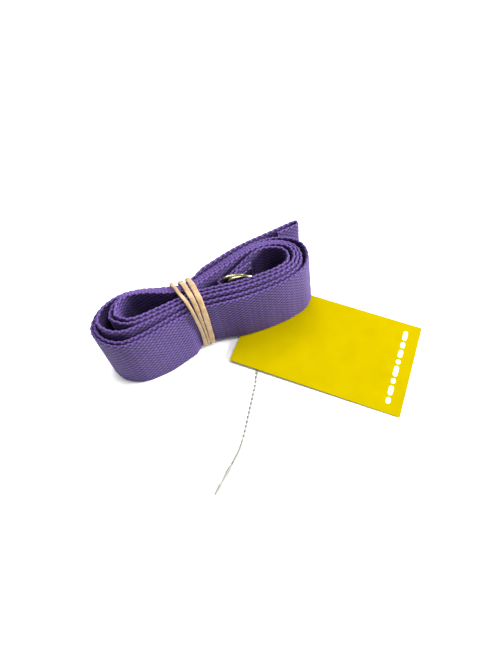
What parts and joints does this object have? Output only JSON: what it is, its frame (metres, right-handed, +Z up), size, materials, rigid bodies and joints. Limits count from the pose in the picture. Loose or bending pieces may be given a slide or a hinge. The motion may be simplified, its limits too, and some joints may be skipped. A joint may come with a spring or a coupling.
{
  "type": "hanked webbing strap with D-rings",
  "caption": "Flat woven strap wound into a two-lobed hank, held by a rubber band, with D-rings on its inner end and a hang tag on a beaded tie.",
  "frame": {"origin": "on the surface the hank stands on, under the middle of the whole outline without the tie", "axes": "+X along the hank from its left lobe to the end with the rings and tag, +Y towards the strap's free tail at the back, +Z up"},
  "size_m": [0.1606, 0.1049, 0.0445],
  "materials": {
    "webbing": "matt purple cotton webbing, coarse plain weave",
    "thread": "purple sewing thread",
    "ring_steel": "plated steel wire, slightly dulled",
    "band_rubber": "natural tan rubber, slightly translucent",
    "tag_card": "yellow coated card",
    "tie_nylon": "clear-grey nylon"
  },
  "bodies": {
    "hank": {"webbing_strap": "webbing", "tail_hem_stitches": "thread", "ring_loop_stitches": "thread", "rubber_band": "band_rubber", "tag_tie_head": "tie_nylon", "tag_tie_string": "tie_nylon", "tag_tie_barb": "tie_nylon"},
    "near_ring": {"d_ring_near": "ring_steel"},
    "far_ring": {"d_ring_far": "ring_steel"},
    "tag": {"hang_tag": "tag_card"}
  },
  "joints": [
    {"name": "far_ring_swing", "type": "hinge", "parent": "hank", "child": "far_ring", "pos_m": [-0.01292, 0.0298, 0.0213], "axis": [-0.0865, -0.0314, 0.9958], "range_deg": [-0.8, 8]},
    {"name": "near_ring_swing", "type": "hinge", "parent": "hank", "child": "near_ring", "pos_m": [-0.01062, 0.0274, 0.022], "axis": [-0.0865, -0.0314, 0.9958], "range_deg": [-0.8, 8]},
    {"name": "tag_turn", "type": "hinge", "parent": "hank", "child": "tag", "pos_m": [0.00857, 0.02835, 0.00178], "axis": [0.0154, -0.014, 0.9998], "range_deg": [-3, 20]}
  ],
  "couplings": [
    {"joint": "near_ring_swing", "follows": "far_ring_swing", "ratio": 1}
  ]
}
